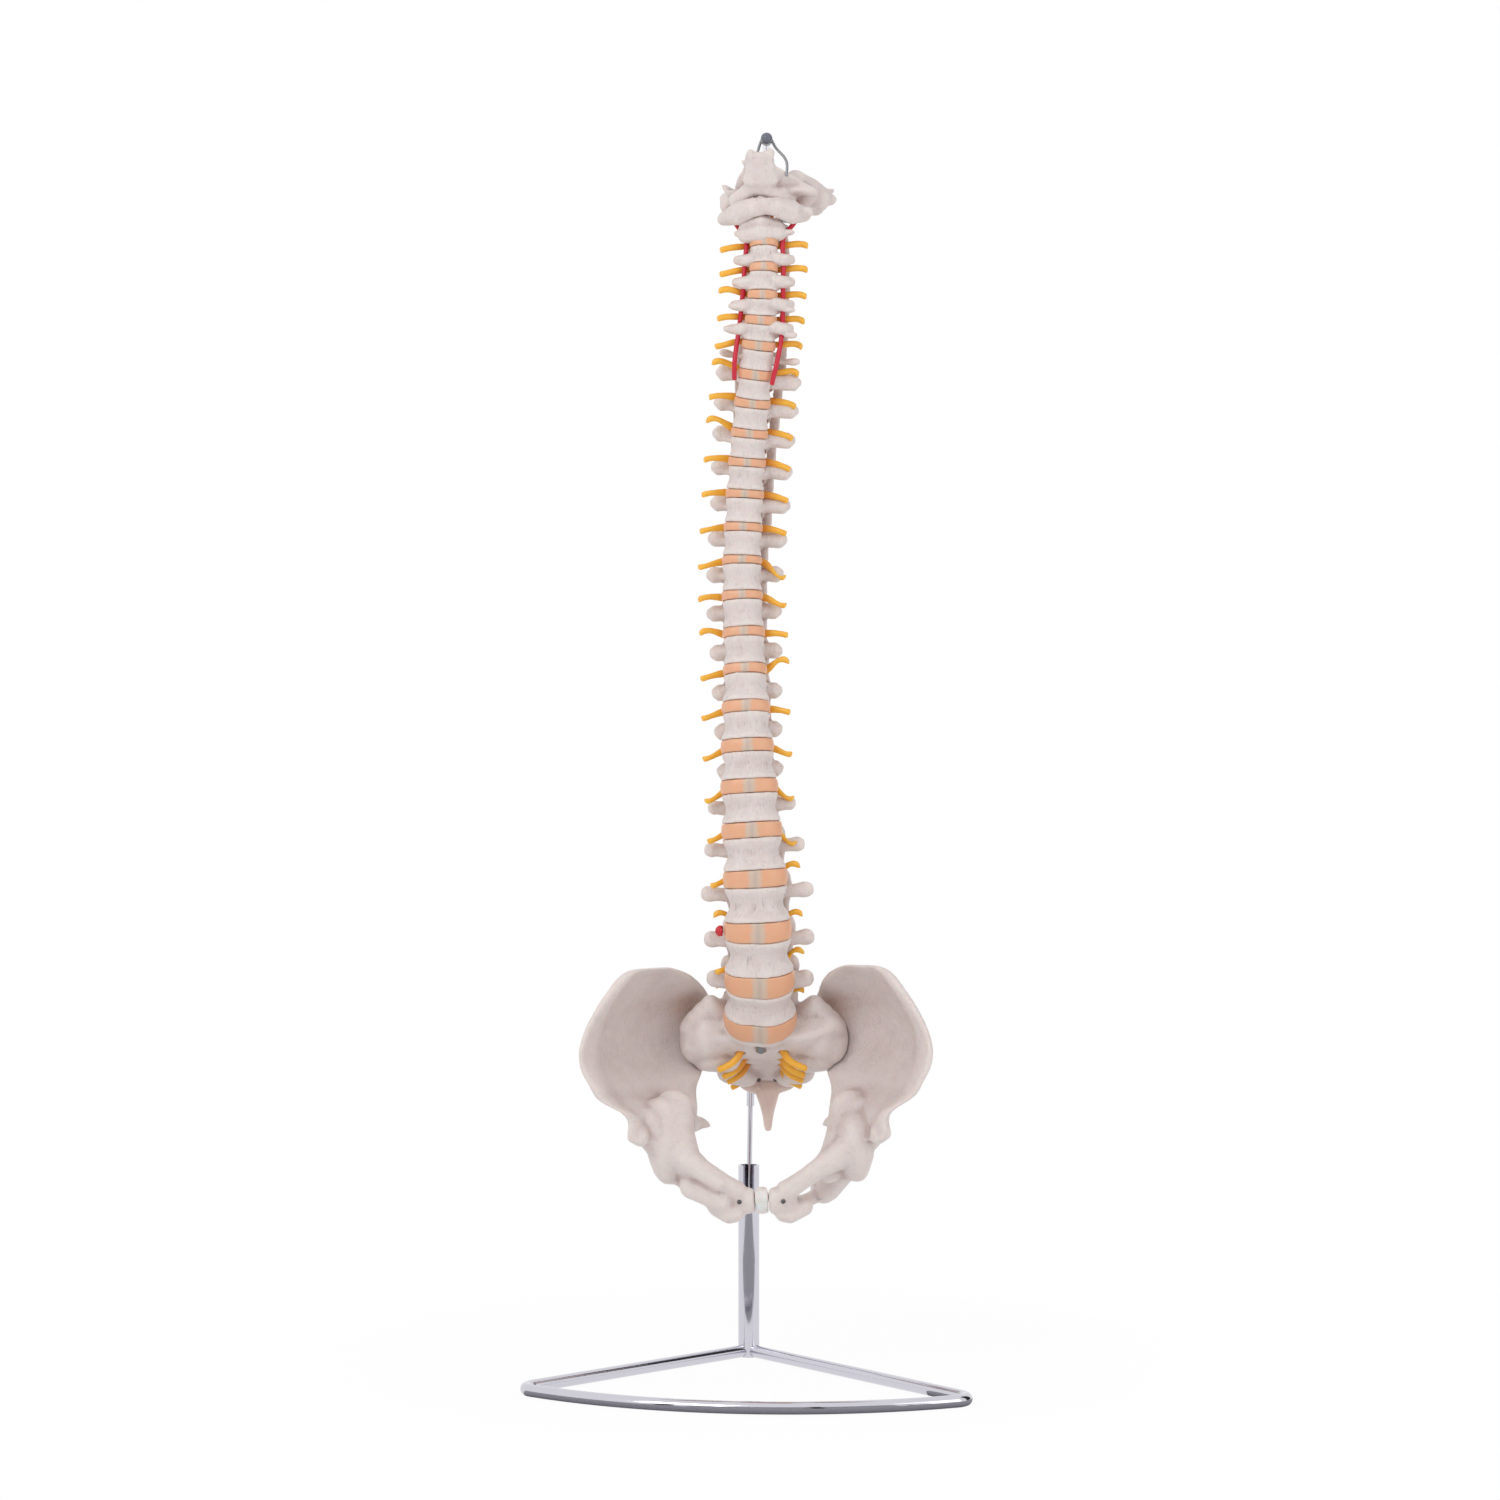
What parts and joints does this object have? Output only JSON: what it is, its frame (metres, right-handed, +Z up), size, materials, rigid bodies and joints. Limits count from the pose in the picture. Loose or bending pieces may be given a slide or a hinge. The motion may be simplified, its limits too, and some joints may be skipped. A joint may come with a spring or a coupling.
{
  "type": "spine anatomy model",
  "caption": "Flexible vertebral column with occipital bone, pelvis, nerves and arteries, hung by a cable loop from a chrome stand.",
  "frame": {"origin": "centre of the stand tube's foot on the floor", "axes": "+Z up along the stand's tube, -Y forward, the way the spine faces; +X to the viewer's right"},
  "size_m": [0.302, 0.2246, 0.8551],
  "materials": {
    "bone": "satin",
    "coccyx_bone": "satin",
    "disc": "satin, slightly translucent",
    "clear_pad": "satin, translucent",
    "nerve": "satin",
    "artery": "satin",
    "nodule": "satin",
    "cable": "twisted strands",
    "screw": "satin",
    "chrome": "polished",
    "dark_plastic": "gloss"
  },
  "bodies": {
    "root": {"occiput": "bone", "c1_atlas": "bone", "c2_axis": "bone", "c3": "bone", "c4": "bone", "c5": "bone", "c6": "bone", "c7": "bone", "t1": "bone", "t2": "bone", "t3": "bone", "t4": "bone", "t5": "bone", "t6": "bone", "t7": "bone", "t8": "bone", "t9": "bone", "t10": "bone", "t11": "bone", "t12": "bone", "l1": "bone", "l2": "bone", "l3": "bone", "l4": "bone", "l5": "bone", "sacrum": "bone", "hip_bone_right": "bone", "hip_bone_left": "bone", "coccyx": "coccyx_bone", "discs_neck": "disc", "disc_t1_t2": "disc", "disc_t2_t3": "disc", "disc_t3_t4": "disc", "disc_t4_t5": "disc", "disc_t5_t6": "disc", "disc_t6_t7": "disc", "disc_t7_t8": "disc", "disc_t8_t9": "disc", "disc_t9_t10": "disc", "disc_t10_t11": "disc", "disc_t11_t12": "disc", "disc_t12_l1": "disc", "disc_l1_l2": "disc", "disc_l2_l3": "disc", "disc_l3_l4": "disc", "disc_l4_l5": "disc", "disc_l5_s1": "disc", "pubic_symphysis": "clear_pad", "spinal_cord_with_nerves": "nerve", "vertebral_arteries": "artery", "core_cable": "cable", "cable_nut": "cable", "hanging_loop": "cable", "small_screws": "screw", "disc_nodule": "nodule", "stand_base_frame": "chrome", "stand_tube": "chrome", "stand_rod": "chrome", "tube_foot_plug": "dark_plastic", "arm_end_cap": "dark_plastic"}
  },
  "joints": []
}
